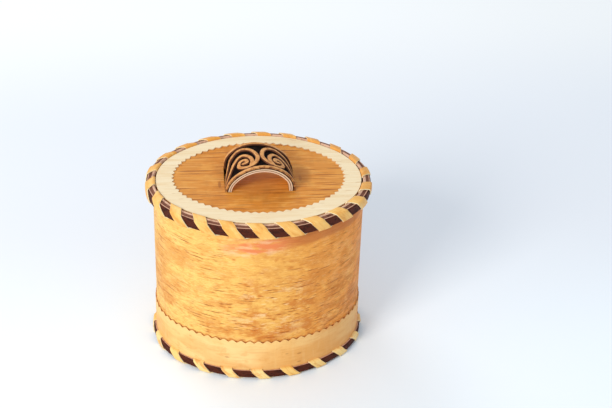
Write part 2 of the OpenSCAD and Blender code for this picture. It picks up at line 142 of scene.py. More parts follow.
class BARKBOX_PG_colours(bpy.types.PropertyGroup):
    """Colours of the bark"""

    wall: paint("Wall", "Golden bark of the wall", (0.84, 0.42, 0.086))
    # Painted light: this pale colour lightens the wall's left, besides the wall's pale patches.
    wall_pale_and_lit: paint("Pale wall", "Paler bark at the wall's left", (0.88, 0.56, 0.155))
    # Painted shade: this deep colour darkens the wall's right.
    wall_right_shade: paint("Deep wall", "Deeper bark at the wall's right", (0.88, 0.27, 0.035))
    wall_blotch: paint("Wall blotches", "Orange brown blotches of the wall", (0.62, 0.20, 0.030))
    wall_brown: paint("Wall browning", "Browned patches low on the wall", (0.57, 0.165, 0.020))
    dash: paint("Pores", "The bark's dark dashes", (0.30, 0.068, 0.009))
    stain: paint("Stain", "Salmon red stain under the lid", (0.76, 0.225, 0.075))
    stain_deep: paint("Deep stain", "Orange brown end of the stain", (0.56, 0.17, 0.036))
    band: paint("Band", "Pinked band round the base", (0.87, 0.47, 0.145))
    inside: paint("Inside", "Warm bark of the inside", (0.62, 0.33, 0.13))
    field: paint("Field", "Golden brown sheet of the lid", (0.66, 0.23, 0.027))
    field_dark: paint("Dark field", "Darker streaks of the lid's sheet", (0.40, 0.125, 0.020))
    ring: paint("Ring", "Pale ring of the lid", (0.86, 0.69, 0.45))
    hoop_pink: paint("Inner hoop", "Pinkish hoop of the rim", (0.70, 0.42, 0.28))
    hoop_red: paint("Middle hoop", "Brown-red hoop of the rim", (0.20, 0.075, 0.045))
    hoop_dark: paint("Outer hoop", "Maroon hoop of the rims", (0.082, 0.017, 0.008))
    hoop_edge: paint("Hoop edge", "Pale top edge of the outer hoops", (0.60, 0.33, 0.22))
    lacing: paint("Lid lacing", "Golden strip round the lid", (0.85, 0.42, 0.092))
    lacing_pale: paint("Pale lid lacing", "Paler turns round the lid", (0.88, 0.50, 0.145))
    base_lacing: paint("Base lacing", "Paler strip round the base", (0.88, 0.53, 0.14))
    base_lacing_pale: paint("Pale base lacing", "Palest turns round the base", (0.94, 0.70, 0.32))
    cut: paint("Cut edge", "Pale cut edge of the lacing", (0.92, 0.74, 0.44))
    carving: paint("Carving", "Lines of the handle's cover", (0.64, 0.285, 0.082))
    burnt: paint("Burnt edge", "Dark edges of the carved lines", (0.13, 0.042, 0.018))
    backing: paint("Backing", "Black ground behind the carving", (0.005, 0.003, 0.003))
    pith: paint("Handle layers", "Cream layers under the handle", (0.80, 0.60, 0.42))


class BARKBOX_PG_stage(bpy.types.PropertyGroup):
    """Floor, light and camera"""

    floor: paint("Floor", "Pale floor in front", (0.89, 0.935, 0.985))
    # Painted shade: a cooler, darker band of floor beside the box.
    floor_painted_shade: paint("Floor beside the box", "Cooler floor beside the box", (0.81, 0.825, 0.875))
    floor_back: paint("Far floor", "Whiter floor farther back", (0.93, 0.925, 0.93))
    sky_tint: paint("Sky tint", "Cool tint of the soft light all round", (0.85, 0.935, 1.0))
    key_tint: paint("Key tint", "Warm tint of the lamp at the left", (1.0, 0.95, 0.88))
    sky: bpy.props.FloatProperty(
        name="Sky", description="Strength of the soft light all round", default=0.76, min=0.0
    )
    key: power("Key light", "Power of the lamp at the front left", 27.0)
    fill: power("Fill light", "Power of the lamp behind, at the left", 8.0)
    lens: bpy.props.FloatProperty(
        name="Lens",
        description="Focal length of the camera",
        default=78.35,
        min=1.0,
        subtype="DISTANCE_CAMERA",
    )
    camera: bpy.props.FloatVectorProperty(
        name="Camera place",
        description="Where the camera stands",
        default=(-0.0555, -0.82696, 0.63835),
        size=3,
        subtype="TRANSLATION",
        unit="LENGTH",
    )
    aim: bpy.props.FloatVectorProperty(
        name="Camera aim",
        description="How the camera is turned",
        default=(math.radians(57.60), math.radians(-1.682), math.radians(-5.183)),
        size=3,
        subtype="EULER",
        unit="ROTATION",
    )


SETTINGS = {
    "bark_lacing": BARKBOX_PG_lacing,
    "bark_handle": BARKBOX_PG_handle,
    "bark_band": BARKBOX_PG_band,
    "bark_colours": BARKBOX_PG_colours,
    "bark_stage": BARKBOX_PG_stage,
}


# ---------------------------------------------------------------------------
# The oval, the arch and small helpers


class Oval:
    """The wall's outline: four arcs of a quarter turn, measured round from the right-hand end."""

    def __init__(self, half_width, half_depth):
        out = (half_width - half_depth) / (2 - math.sqrt(2))
        self.end_radius = half_width - out
        self.side_radius = half_depth + out
        end = self.end_radius * math.pi / 4
        side = self.side_radius * math.pi / 2
        self.round = 4 * end + 2 * side
        self.arcs = (
            ((out, 0.0), self.end_radius, -45, -end),
            ((0.0, -out), self.side_radius, 45, end),
            ((-out, 0.0), self.end_radius, 135, end + side),
            ((0.0, out), self.side_radius, 225, 3 * end + side),
            ((out, 0.0), self.end_radius, 315, 3 * end + 2 * side),
        )

    def arc(self, s):
        s %= self.round
        return s, [a for a in self.arcs if a[3] <= s][-1]

    def point(self, s, offset):
        """Place at distance s round the wall, that far outside it."""
        s, (centre, radius, start, before) = self.arc(s)
        t = math.radians(start) + (s - before) / radius
        return centre[0] + (radius + offset) * math.cos(t), centre[1] + (radius + offset) * math.sin(t)

    def shifted(self, s, offset, u):
        """The same, moved by u along the rim at its own offset."""
        radius = self.arc(s)[1][1]
        return self.point(s + u * radius / (radius + offset), offset)


WALL = Oval(HALF_WIDTH, HALF_DEPTH)


class Arch:
    """The handle's arch: two shoulders and a crown. d runs from the right foot over the top."""

    def __init__(self, handle, foot_z):
        self.half, self.rise, self.lean = handle.span / 2, handle.rise, handle.lean
        self.half_depth, self.foot_z = handle.depth / 2, foot_z
        self.shoulder = self.rise**2 / self.half
        self.aside = self.half - self.shoulder
        over = self.rise - self.shoulder
        self.drop = (self.aside**2 - over**2) / (2 * over)
        self.crown = self.shoulder + math.hypot(self.aside, self.drop)
        self.turn_at = math.atan2(self.drop, self.aside)
        self.quarter = math.pi * (self.half + self.rise) / 4

    def point(self, d, y, depth):
        """Place at distance d from the right foot and depth y, that far below the cover's face."""
        turn = math.pi / 2 * d / self.quarter
        if d < 0:
            x, z = self.half - depth, d
        elif d > 2 * self.quarter:
            x, z = depth - self.half, 2 * self.quarter - d
        elif turn < self.turn_at:
            x = self.aside + (self.shoulder - depth) * math.cos(turn)
            z = (self.shoulder - depth) * math.sin(turn)
        elif turn <= math.pi - self.turn_at:
            x = (self.crown - depth) * math.cos(turn)
            z = (self.crown - depth) * math.sin(turn) - self.drop
        else:
            x = -self.aside + (self.shoulder - depth) * math.cos(turn)
            z = (self.shoulder - depth) * math.sin(turn)
        x -= self.lean * y / self.half_depth * max(0.0, z) / self.rise
        return x, y, self.foot_z + z


def chance(*seeds):
    """A fixed number from 0 to 1 for these seeds."""
    total = sum(math.sin(127.1 * (i + 1) * s + 311.7 * i + 17.3) for i, s in enumerate(seeds))
    return (total * 43758.5453) % 1.0


def smooth_path(knots, stretch):
    """Points along a smooth curve through the knots, about a stretch apart."""
    points = []
    for i in range(len(knots) - 1):
        a, b = knots[max(i - 1, 0)], knots[i]
        c, d = knots[i + 1], knots[min(i + 2, len(knots) - 1)]
        steps = max(1, math.ceil(math.dist(b, c) / stretch))
        for k in range(steps):
            f = k / steps
            points.append(tuple(
                0.5 * (
                    2 * q
                    + (r - p) * f
                    + (2 * p - 5 * q + 4 * r - t) * f**2
                    + (3 * q - p - 3 * r + t) * f**3
                )
                for p, q, r, t in zip(a, b, c, d)
            ))
    points.append(tuple(knots[-1]))
    return points


SHARP_ANGLE = math.radians(50)


def make_piece(name, rings, materials, body, edge_faces=(), values=None, closed=False):
    """A tube skinned over rings of points, riding on a body. Faces from the section points
    in edge_faces take the second material. Values are numbers at the points, for the finish."""
    sides = len(rings[0])
    verts = [p for ring in rings for p in ring]
    faces, second = [], []
    spans = len(rings) if closed else len(rings) - 1
    for r in range(spans):
        a, b = r * sides, (r + 1) % len(rings) * sides
        for e in range(sides):
            f = (e + 1) % sides
            faces.append((a + e, a + f, b + f, b + e))
            second.append(1 if e in edge_faces else 0)
    if not closed:
        faces += [tuple(reversed(range(sides))), tuple(range(len(verts) - sides, len(verts)))]
        second += [1 if edge_faces else 0] * 2
    mesh = bpy.data.meshes.new(name)
    mesh.from_pydata(verts, [], faces)
    for material in materials:
        mesh.materials.append(material)
    mesh.polygons.foreach_set("material_index", second)
    for label, numbers in (values or {}).items():
        mesh.attributes.new(label, "FLOAT", "POINT").data.foreach_set("value", numbers)
    mesh.polygons.foreach_set("use_smooth", [True] * len(faces))
    mesh.set_sharp_from_angle(angle=SHARP_ANGLE)
    mesh.validate()
    mesh.update()
    piece = bpy.data.objects.new(name, mesh)
    bpy.context.scene.collection.objects.link(piece)
    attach(piece, body)
    return piece


def dress(node, material):
    """Gives a packed node its finish."""
    slots = NODES[node].material_slots
    if not slots:
        raise RuntimeError(f"{node} has no material slot")
    for place in slots:
        place.material = material


# ---------------------------------------------------------------------------
# Finishes. Places are in metres, and a noise's scales are waves per metre along x, y and z.


class Shade:
    """Shades that the finishes lay over the settings' colours."""

    wall_grain = (0.94, 0.66, 0.24)
    wall_rubbed = (0.93, 0.66, 0.32)
    wall_fleck = (0.94, 0.72, 0.40)
    wall_blush = (0.93, 0.60, 0.38)
    band_right_shade = (0.66, 0.26, 0.07)
    band_left_light = (0.88, 0.53, 0.17)
    band_front_light = (0.93, 0.66, 0.30)
    band_top = (0.90, 0.60, 0.23)
    band_cloud = (0.74, 0.34, 0.085)
    band_light = (0.90, 0.60, 0.25)
    band_patch = (0.74, 0.33, 0.08)
    band_fibre = (0.90, 0.62, 0.28)
    band_streak = (0.66, 0.28, 0.07)
    edge_mottle = (0.42, 0.15, 0.035)
    edge_broken = (0.62, 0.27, 0.07)
    edge_tip = (0.70, 0.33, 0.09)
    inside_light = (0.72, 0.44, 0.2)
    inside_mark = (0.24, 0.09, 0.03)
    board_grain = (0.40, 0.19, 0.07)
    board_light = (0.74, 0.46, 0.22)
    board_layer = (0.30, 0.13, 0.05)
    field_brown = (0.50, 0.165, 0.020)
    field_gold = (0.76, 0.34, 0.06)
    field_mottle = (0.54, 0.18, 0.02)
    field_light = (0.78, 0.36, 0.07)
    field_shine = (0.82, 0.42, 0.11)
    field_cross = (0.48, 0.17, 0.028)
    field_end = (0.74, 0.33, 0.07)
    field_hair = (0.24, 0.055, 0.010)
    field_pale_hair = (0.88, 0.50, 0.16)
    field_under_arch_light = (0.78, 0.36, 0.06)
    field_groove_shade = (0.26, 0.08, 0.015)
    field_shadow = (0.38, 0.12, 0.016)
    ring_tan = (0.78, 0.55, 0.29)
    ring_grain = (0.74, 0.50, 0.26)
    ring_light = (0.92, 0.80, 0.60)
    ring_mark = (0.5, 0.27, 0.12)
    ring_side = (0.52, 0.28, 0.11)
    hoop_pink = (0.42, 0.22, 0.15)
    hoop_red = (0.09, 0.03, 0.02)
    hoop_dark = (0.035, 0.010, 0.007)
    lacing_back_shade = (0.76, 0.32, 0.05)
    lacing_right_shade = (0.68, 0.27, 0.05)
    lacing_cloud = (0.70, 0.28, 0.045)
    lacing_light = (0.92, 0.64, 0.24)
    lacing_grain = (0.66, 0.29, 0.055)
    cut_layer = (0.80, 0.56, 0.28)
    carving_light = (0.72, 0.34, 0.105)
    carving_mottle = (0.42, 0.15, 0.035)
    backing_mottle = (0.018, 0.010, 0.008)
    pith_warm = (0.74, 0.45, 0.30)
    pith_grain = (0.55, 0.30, 0.17)
    pith_light = (0.90, 0.75, 0.56)
    pith_joint = (0.10, 0.035, 0.02)
    pith_face_warm_and_lit = (0.84, 0.56, 0.28)
    floor_light = (1.0, 1.0, 1.0)


class Finish:
    """A bark finish, built up from nodes."""

    def __init__(self, name):
        self.material = bpy.data.materials.new(name)
        self.material.use_nodes = True
        self.tree = self.material.node_tree
        self.shader = self.tree.nodes["Principled BSDF"]
        source = self.add("ShaderNodeTexCoord")
        self.place, self.facing = source.outputs["Object"], source.outputs["Normal"]

    def add(self, kind, **settings):
        node = self.tree.nodes.new(kind)
        for key, value in settings.items():
            setattr(node, key, value)
        return node

    def plug(self, value, socket):
        if isinstance(value, bpy.types.NodeSocket):
            self.tree.links.new(value, socket)
        elif socket.type == "RGBA":
            socket.default_value = (*value[:3], 1.0)
        else:
            socket.default_value = value

    def math(self, operation, a, b=0.0):
        node = self.add("ShaderNodeMath", operation=operation)
        self.plug(a, node.inputs[0])
        self.plug(b, node.inputs[1])
        return node.outputs[0]

    def plus(self, a, b):
        return self.math("ADD", a, b)

    def less(self, a, b):
        return self.math("SUBTRACT", a, b)

    def size(self, value):
        return self.math("ABSOLUTE", value)

    def times(self, *values):
        result = values[0]
        for value in values[1:]:
            result = self.math("MULTIPLY", result, value)
        return result

    def stretched(self, x, y, z, shift=(0.0, 0.0, 0.0), source=None):
        """The place in the bark, scaled along each axis."""
        node = self.add("ShaderNodeMapping")
        self.plug(source or self.place, node.inputs["Vector"])
        node.inputs["Scale"].default_value = (x, y, z)
        node.inputs["Location"].default_value = shift
        return node.outputs[0]

    def split(self, vector):
        node = self.add("ShaderNodeSeparateXYZ")
        self.plug(vector, node.inputs[0])
        return node.outputs

    def join(self, x, y, z):
        node = self.add("ShaderNodeCombineXYZ")
        for value, socket in zip((x, y, z), node.inputs):
            self.plug(value, socket)
        return node.outputs[0]

    def value(self, label):
        return self.add("ShaderNodeAttribute", attribute_name=label).outputs["Fac"]

    def noise(self, vector, detail=4.0, rough=0.55, warp=0.0):
        node = self.add("ShaderNodeTexNoise")
        self.plug(vector, node.inputs["Vector"])
        node.inputs["Scale"].default_value = 1.0
        node.inputs["Detail"].default_value = detail
        node.inputs["Roughness"].default_value = rough
        node.inputs["Distortion"].default_value = warp
        return node.outputs["Fac"]

    def cells(self, vector):
        """Distance to the nearest cell's centre, and that cell's own number."""
        node = self.add("ShaderNodeTexVoronoi")
        self.plug(vector, node.inputs["Vector"])
        node.inputs["Scale"].default_value = 1.0
        return node.outputs["Distance"], self.split(node.outputs["Color"])[0]

    def rise(self, value, start, end, low_value=0.0, high_value=1.0):
        """Climbs smoothly from one value to the other as value goes from start to end."""
        node = self.add("ShaderNodeMapRange", interpolation_type="SMOOTHSTEP")
        self.plug(value, node.inputs["Value"])
        for label, number in (
            ("From Min", start), ("From Max", end), ("To Min", low_value), ("To Max", high_value)
        ):
            self.plug(number, node.inputs[label])
        return node.outputs["Result"]

    def mix(self, amount, a, b):
        node = self.add("ShaderNodeMix", data_type="RGBA", blend_type="MIX")
        self.plug(amount, node.inputs[0])
        self.plug(a, node.inputs[6])
        self.plug(b, node.inputs[7])
        return node.outputs[2]

    def layered(self, colour, *layers):
        """Lays shades over a colour in turn. Each layer is (value, start, end, strength, shade): the
        shade is at its strength where the value has reached the end."""
        for value, start, end, strength, shade in layers:
            colour = self.mix(self.rise(value, start, end, 0.0, strength), colour, shade)
        return colour

    def dashes(self, long, thin, share_kept, size, shift=(0.0, 0.0, 0.0), slope=0.0):
        """Scattered marks drawn out round the wall, and the stain about them: long and thin
        are their spacing."""
        source = self.place
        if slope:
            x, y, z = self.split(self.place)
            wave = self.noise(self.stretched(30, 30, 8))
            source = self.join(x, y, self.plus(z, self.times(wave, slope)))
        distance, number = self.cells(self.stretched(1 / long, 1 / long, 1 / thin, shift, source))
        kept = self.math("LESS_THAN", number, share_kept)
        mark = self.rise(distance, size, size * 0.45)
        about = self.rise(distance, size * 1.7, size * 0.6)
        return self.times(mark, kept), self.times(about, kept)

    def spot(self, x, y, wide, deep):
        """A soft round mark on a flat sheet."""
        px, py, _ = self.split(self.place)
        dx = self.math("DIVIDE", self.less(px, x), wide)
        dy = self.math("DIVIDE", self.less(py, y), deep)
        return self.rise(self.plus(self.times(dx, dx), self.times(dy, dy)), 1.0, 0.1)

    def below(self, arch):
        """Depth below the arch's top face, for marks that follow the arch's layers."""
        x, y, z = self.split(self.place)
        z = self.less(z, arch.foot_z)
        lean = self.times(y, self.math("MAXIMUM", z, 0.0), arch.lean / arch.half_depth / arch.rise)
        x = self.size(self.plus(x, lean))
        side = self.less(x, arch.aside)

        def reach(u, v):
            return self.math("SQRT", self.plus(self.times(u, u), self.times(v, v)))

        crown = self.less(arch.crown, reach(x, self.plus(z, arch.drop)))
        shoulder = self.less(arch.shoulder, reach(side, z))
        outward = self.times(side, math.sin(arch.turn_at))
        upward = self.times(z, math.cos(arch.turn_at))
        past = self.math("GREATER_THAN", outward, upward)
        leg = self.less(arch.half, x)
        low_down = self.math("LESS_THAN", z, 0.0)
        bent = self.plus(crown, self.times(past, self.less(shoulder, crown)))
        return self.plus(bent, self.times(low_down, self.less(leg, bent)))

    def done(self, colour, roughness, height=None, depth=0.1 * MM, specular=0.18):
        self.plug(colour, self.shader.inputs["Base Color"])
        self.plug(roughness, self.shader.inputs["Roughness"])
        self.shader.inputs["Specular IOR Level"].default_value = specular
        if height is not None:
            bump = self.add("ShaderNodeBump")
            bump.inputs["Strength"].default_value = 1.0
            bump.inputs["Distance"].default_value = depth
            self.plug(height, bump.inputs["Height"])
            self.plug(bump.outputs[0], self.shader.inputs["Normal"])
        return self.material


def wall_bark(colours):
    """Outer bark of the wall: golden, with dark pore dashes, blotches and a red stain under the lid, and
    painted light at its left and painted shade at its right.
    """
    f = Finish("wall_bark")
    x, y, z = f.split(f.place)
    cloud = f.noise(f.stretched(24, 24, 40), 3.0, 0.55)
    patch = f.noise(f.stretched(62, 62, 115, (3.1, 0, 1.7)), 4.0, 0.65, 0.3)
    small = f.noise(f.stretched(170, 170, 330, (6, 1, 3)), 3.0, 0.65)
    streak = f.noise(f.stretched(90, 90, 1500, (0, 5, 0)), 3.0, 0.6)
    deep = f.noise(f.stretched(38, 38, 70, (2, 9, 4)), 4.0, 0.65, 0.3)
    worn_pale = f.noise(f.stretched(75, 75, 150, (8, 3, 6)), 4.0, 0.7, 0.3)
    grain = f.noise(f.stretched(320, 320, 1700, (5, 5, 1)), 3.0, 0.65)

    # Clouds and blotches, stronger low down and to the right; rubbed paler in the middle.
    weathered = f.times(f.rise(z, 0.10, 0.04, 0.4, 1.0), f.rise(x, -0.055, 0.01, 0.45, 1.0))
    rubbed = f.times(
        f.rise(f.size(f.less(x, 0.004)), 0.036, 0.012), f.rise(f.size(f.less(z, 0.062)), 0.032, 0.010)
    )
    # Paler towards the left and deeper towards the right: painted light and shade, as from the lamp at the
    # front left.
    colour = f.layered(
        colours.wall,
        (x, 0.045, -0.075, 1.0, colours.wall_pale_and_lit),
        (x, 0.0, 0.078, 0.8, colours.wall_right_shade),
        (cloud, 0.5, 0.66, 0.5, colours.wall_blotch),
        (cloud, 0.46, 0.30, 0.4, colours.wall_pale_and_lit),
    )
    for amount, shade in (
        (f.times(f.rise(patch, 0.50, 0.62), weathered, 0.95), colours.wall_blotch),
        (f.times(f.rise(deep, 0.49, 0.62), weathered, 0.85), colours.wall_brown),
        (f.times(f.rise(worn_pale, 0.50, 0.62), f.rise(rubbed, 0.0, 1.0, 0.12, 0.5)), Shade.wall_rubbed),
        (f.times(f.rise(small, 0.52, 0.68), f.rise(weathered, 0.2, 1.0, 0.4, 0.75)), colours.wall_blotch),
    ):
        colour = f.mix(amount, colour, shade)
    colour = f.layered(
        colour,
        (small, 0.42, 0.26, 0.3, colours.wall_pale_and_lit),
        (streak, 0.52, 0.66, 0.42, colours.wall_blotch),
        (grain, 0.5, 0.68, 0.4, colours.wall_blotch),
        (grain, 0.46, 0.3, 0.38, Shade.wall_grain),
    )

    # Pore dashes with a brown stain about them, small spots and pale flecks.
    top = high("outer_wall").z
    gather = f.rise(f.noise(f.stretched(26, 26, 34, (7, 2, 1)), 2.0), 0.34, 0.56, 0.2, 1.0)
    away = f.rise(z, top - 7 * MM, top - 13 * MM)
    ragged = f.rise(f.noise(f.stretched(350, 350, 1200, (2, 2, 7)), 2.0), 0.3, 0.5, 0.35, 1.0)
    long_marks, long_halo = f.dashes(34 * MM, 1.7 * MM, 0.98, 0.23, (1.3, 0.4, 0.2), 2.4 * MM)
    short_marks, short_halo = f.dashes(10 * MM, 1.4 * MM, 0.8, 0.23, (9.7, 3.1, 5.5), 2.4 * MM)
    spots, spot_halo = f.dashes(10 * MM, 7 * MM, 0.22, 0.17, (6.3, 2.9, 8.8))
    flecks = f.times(f.dashes(9 * MM, 2.2 * MM, 0.35, 0.3, (2.2, 8.1, 4.4))[0], ragged)
    shown = f.times(gather, away, ragged)
    halo = f.times(f.math("MAXIMUM", long_halo, short_halo), shown)
    marks = f.times(f.math("MAXIMUM", long_marks, f.times(short_marks, 0.85)), shown)
    for amount, shade in (
        (f.times(halo, 0.55), colours.wall_blotch),
        (f.times(marks, 0.95), colours.dash),
        (f.times(spot_halo, 0.5), colours.wall_blotch),
        (f.times(spots, ragged, 0.55), colours.wall_brown),
        (f.times(flecks, f.rise(rubbed, 0.0, 1.0, 0.15, 0.45)), Shade.wall_fleck),
    ):
        colour = f.mix(amount, colour, shade)

    # The stain under the lid: red in front, browner to the right, with a blush below its edge.
    waver = f.times(f.less(f.noise(f.stretched(40, 40, 30, (0, 0, 9)), 3.0), 0.5), 9 * MM)
    level = f.plus(z, waver)
    front = f.rise(y, 0.02, -0.02)
    drip = f.rise(x, -0.025, 0.062, top - 14 * MM, top - 9.5 * MM)
    upper = f.rise(f.less(level, f.times(x, 0.16)), top - 3.0 * MM, top - 5.5 * MM, 0.15, 1.0)
    stained = f.rise(f.less(level, drip), -1.2 * MM, 1.6 * MM)
    reach = f.rise(f.plus(x, f.times(waver, 1.5)), -0.036, -0.014)
    tint = f.mix(f.rise(f.plus(x, waver), 0.006, 0.026), colours.stain, colours.stain_deep)
    blush = f.times(
        f.rise(f.less(level, drip), -4.5 * MM, 0.5 * MM),
        f.rise(x, 0.022, 0.0),
        f.rise(f.noise(f.stretched(130, 130, 300, (9, 9, 1)), 3.0, 0.6), 0.42, 0.58),
    )
    worn = f.rise(f.noise(f.stretched(60, 60, 320, (4, 4, 4)), 4.0, 0.6), 0.38, 0.58, 0.25, 1.0)
    worn = f.math("MAXIMUM", worn, f.rise(x, 0.0, 0.03, 0.0, 0.85))
    colour = f.mix(f.times(blush, reach, front, upper, 0.6), colour, Shade.wall_blush)
    colour = f.mix(f.times(stained, upper, reach, front, worn), colour, tint)
    rough = f.rise(patch, 0.3, 0.7, 0.42, 0.62)
    height = f.less(f.plus(f.times(streak, 0.35), f.times(cloud, 1.2)), f.times(marks, 0.8))
    return f.done(colour, rough, height, 0.14 * MM)


def band_bark(colours):
    """Smooth pale bark of the pinked band, with faint warm blotches, painted light at its left and front
    left, and painted shade at its right.
    """
    f = Finish("band_bark")
    x, y, z = f.split(f.place)
    top = high("pinked_band").z
    cloud = f.noise(f.stretched(26, 26, 60, (1, 6, 2)), 3.0, 0.5)
    streak = f.noise(f.stretched(60, 60, 700, (4, 0, 2)), 3.0, 0.6)
    fibre = f.noise(f.stretched(420, 420, 45, (2, 7, 1)), 3.0, 0.6)
    patch = f.noise(f.stretched(110, 110, 260, (2, 5, 4)), 4.0, 0.6, 0.4)
    # Painted light: a paler patch on the band's front left, where the lamp falls.
    front = f.times(f.rise(f.size(f.plus(x, 0.028)), 0.050, 0.012), f.rise(y, 0.0, -0.02))
    upper = f.times(f.rise(z, top - 11 * MM, top - 3 * MM), f.rise(x, 0.05, -0.01))
    marks = f.dashes(9 * MM, 4 * MM, 0.12, 0.26, (5, 1, 3))[0]
    cut_edge = f.rise(f.split(f.facing)[2], 0.2, 0.5)
    # Deeper towards the right and paler towards the left: painted light and shade, as from the lamp at the
    # front left.
    colour = f.layered(
        colours.band,
        (x, 0.0, 0.078, 0.6, Shade.band_right_shade),
        (x, -0.01, -0.075, 0.5, Shade.band_left_light),
    )
    colour = f.mix(f.times(front, 0.65), colour, Shade.band_front_light)
    colour = f.layered(
        colour,
        (cloud, 0.5, 0.66, 0.45, Shade.band_cloud),
        (cloud, 0.48, 0.32, 0.4, Shade.band_light),
        (patch, 0.52, 0.66, 0.45, Shade.band_patch),
        (fibre, 0.5, 0.7, 0.16, Shade.band_fibre),
        (streak, 0.5, 0.75, 0.35, Shade.band_streak),
    )
    for amount, shade in (
        (f.times(upper, 0.45), Shade.band_top),
        (f.times(marks, 0.4), colours.dash),
        (f.times(cut_edge, 0.75), colours.dash),
    ):
        colour = f.mix(amount, colour, shade)
    rough = f.rise(streak, 0.3, 0.7, 0.42, 0.56)
    return f.done(colour, rough, f.plus(f.times(streak, 0.3), cloud), 0.12 * MM)


def band_edge_shade(colours, top, tooth):
    """Painted shade above the band's teeth: a dark line, darkest in the valleys, broken here and there."""
    f = Finish("band_edge_shade")
    mottle = f.noise(f.stretched(300, 300, 300), 3.0)
    broken = f.noise(f.stretched(110, 110, 110, (4, 2, 0)), 3.0)
    # Deeper painted shade in the valleys between the teeth, less at the tips.
    valley = f.rise(f.split(f.place)[2], top - 0.1 * tooth, top - 0.6 * tooth)
    colour = f.layered(
        colours.dash,
        (mottle, 0.42, 0.6, 0.6, Shade.edge_mottle),
        (broken, 0.5, 0.62, 0.6, Shade.edge_broken),
        (valley, 1.0, 0.0, 0.6, Shade.edge_tip),
    )
    return f.done(colour, f.rise(mottle, 0.3, 0.7, 0.5, 0.65), mottle, 0.05 * MM)


def inner_bark(colours, name="inner_bark", tint=1.0):
    """Warm inner bark, seen inside the box and under the lid."""
    f = Finish(name)
    streak = f.noise(f.stretched(45, 45, 650), 4.0, 0.6)
    cloud = f.noise(f.stretched(24, 24, 40, (2, 2, 5)), 3.0, 0.5)
    marks = f.dashes(12 * MM, 3 * MM, 0.4, 0.3, (3, 3, 3))[0]
    base = tuple(c * tint for c in colours.inside)
    colour = f.layered(
        base,
        (streak, 0.45, 0.75, 0.5, tuple(c * 0.55 for c in base)),
        (cloud, 0.5, 0.3, 0.4, Shade.inside_light),
    )
    colour = f.mix(f.times(marks, 0.6), colour, Shade.inside_mark)
    rough = f.rise(streak, 0.3, 0.7, 0.5, 0.68)
    return f.done(colour, rough, f.plus(streak, f.times(marks, -0.8)), 0.12 * MM)


def board_bark(colours):
    """Boards pressed from layers of bark: grain along the length, paler layers at the edge."""
    f = Finish("board_bark")
    grain = f.noise(f.stretched(18, 420, 420), 4.0, 0.6)
    layers = f.noise(f.stretched(8, 8, 2600), 2.0, 0.5)
    cloud = f.noise(f.stretched(30, 30, 30, (1, 1, 1)), 2.0)
    side = f.rise(f.size(f.split(f.facing)[2]), 0.7, 0.4)
    colour = f.layered(
        colours.inside,
        (grain, 0.4, 0.7, 0.55, Shade.board_grain),
        (cloud, 0.5, 0.3, 0.4, Shade.board_light),
    )
    colour = f.mix(f.times(side, f.rise(layers, 0.45, 0.6)), colour, Shade.board_layer)
    rough = f.rise(grain, 0.3, 0.7, 0.5, 0.68)
    return f.done(colour, rough, f.plus(grain, f.times(side, layers)), 0.1 * MM)


def field_bark(colours, handle):
    """Golden brown sheet of the lid: streaks along its length, paler under the arch as painted light, with
    painted shade in two grooves by the handle's feet.
    """
    f = Finish("field_bark")
    x, y, z = f.split(f.place)
    bend = f.times(f.noise(f.stretched(14, 60, 1), 2.0), 3 * MM)
    grain_place = f.join(x, f.plus(y, bend), z)
    fine = f.noise(f.stretched(42, 1000, 1, (0, 0, 0), grain_place), 4.0, 0.6)
    broad = f.noise(f.stretched(34, 190, 1, (3, 7, 0), grain_place), 4.0, 0.6)
    mottle = f.noise(f.stretched(70, 90, 1, (5, 2, 0)), 4.0, 0.6)
    cross = f.noise(f.stretched(120, 60, 1, (1, 1, 0)), 2.0)
    hair = f.noise(f.stretched(30, 760, 1, (8, 2, 0), grain_place), 1.0, 0.4)
    # Mask of the painted light under the arch.
    under = f.times(
        f.rise(f.size(x), handle.span * 0.52, handle.span * 0.36),
        f.rise(f.size(y), handle.depth * 0.62, handle.depth * 0.3),
    )
    colour = f.layered(
        colours.field,
        (broad, 0.48, 0.64, 0.45, Shade.field_brown),
        (broad, 0.47, 0.34, 0.5, Shade.field_gold),
        (mottle, 0.48, 0.62, 0.5, Shade.field_mottle),
        (mottle, 0.47, 0.34, 0.5, Shade.field_light),
        (fine, 0.5, 0.68, 0.4, colours.field_dark),
        (fine, 0.48, 0.34, 0.55, Shade.field_shine),
        (cross, 0.5, 0.68, 0.35, Shade.field_cross),
        (f.size(x), 0.025, 0.06, 0.4, Shade.field_end),
        (hair, 0.64, 0.68, 0.75, Shade.field_hair),
        (hair, 0.34, 0.29, 0.5, Shade.field_pale_hair),
    )
    for mark, strength, shade in (
        (under, 0.35, Shade.field_under_arch_light),
        # Painted shade in the grooves beside the feet, and the handle's painted shadow to its right.
        (f.spot(-28.9 * MM, -7.5 * MM, 1.5 * MM, 5.6 * MM), 0.6, Shade.field_groove_shade),
        (f.spot(30 * MM, -0.9 * MM, 1.5 * MM, 5.0 * MM), 0.6, Shade.field_groove_shade),
        (f.spot(32 * MM, 4 * MM, 8 * MM, 14 * MM), 0.6, Shade.field_shadow),
    ):
        colour = f.mix(f.times(mark, strength), colour, shade)
    rough = f.rise(fine, 0.3, 0.7, 0.36, 0.52)
    return f.done(colour, rough, f.plus(f.times(fine, 0.6), f.times(hair, -0.5)), 0.09 * MM, 0.15)


